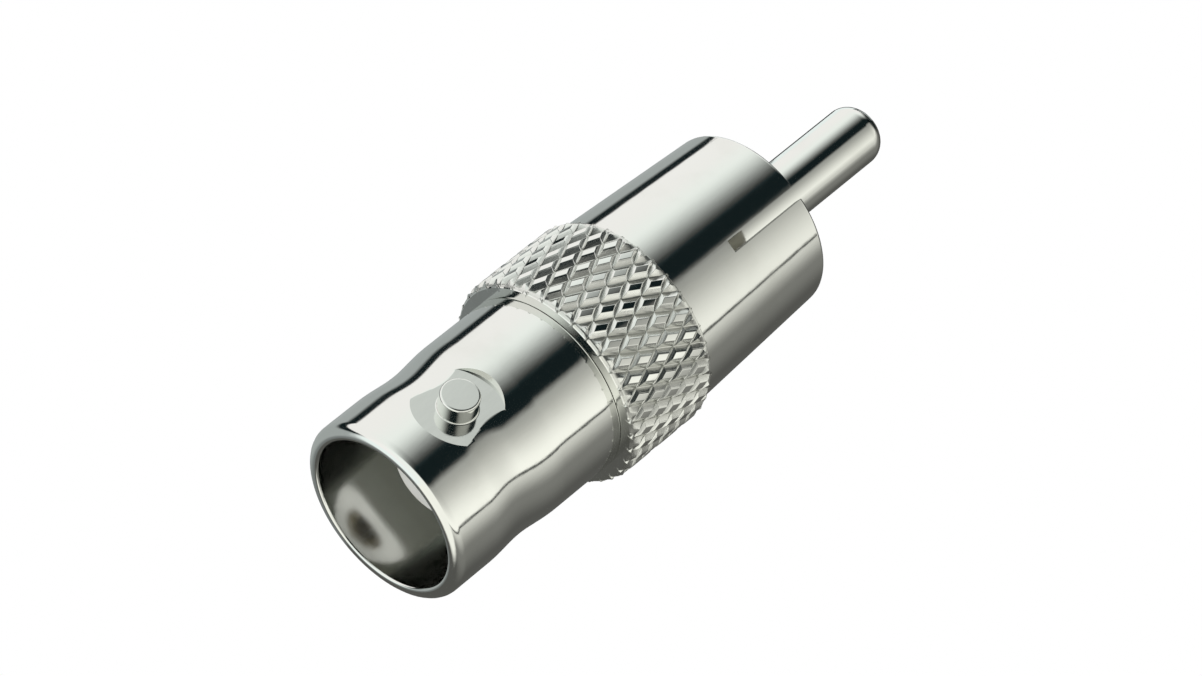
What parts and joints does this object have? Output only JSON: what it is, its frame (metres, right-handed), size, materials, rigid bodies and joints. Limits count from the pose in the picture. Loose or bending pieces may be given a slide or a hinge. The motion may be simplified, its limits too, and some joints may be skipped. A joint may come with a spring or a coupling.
{
  "type": "bnc to phono adapter",
  "caption": "Straight coaxial adapter: a bayonet jack with side lugs at one end, a knurled collar, and a slotted phono plug with a domed centre pin at the other.",
  "frame": {"origin": "centre of the flat rim of the bayonet mouth, on the axis, where the adapter stands", "axes": "+Z runs along the axis from the bayonet mouth to the tip of the phono pin; the lugs lie along Y"},
  "size_m": [0.0114, 0.0114, 0.0353],
  "materials": {
    "nickel_plate": "polished",
    "contact_plate": "satin",
    "white_insulator": "satin"
  },
  "bodies": {
    "root": {"bayonet_body": "nickel_plate", "phono_shell": "nickel_plate", "phono_pin": "nickel_plate", "bayonet_contact": "contact_plate", "bayonet_insulator": "white_insulator", "phono_insulator": "white_insulator"}
  },
  "joints": []
}
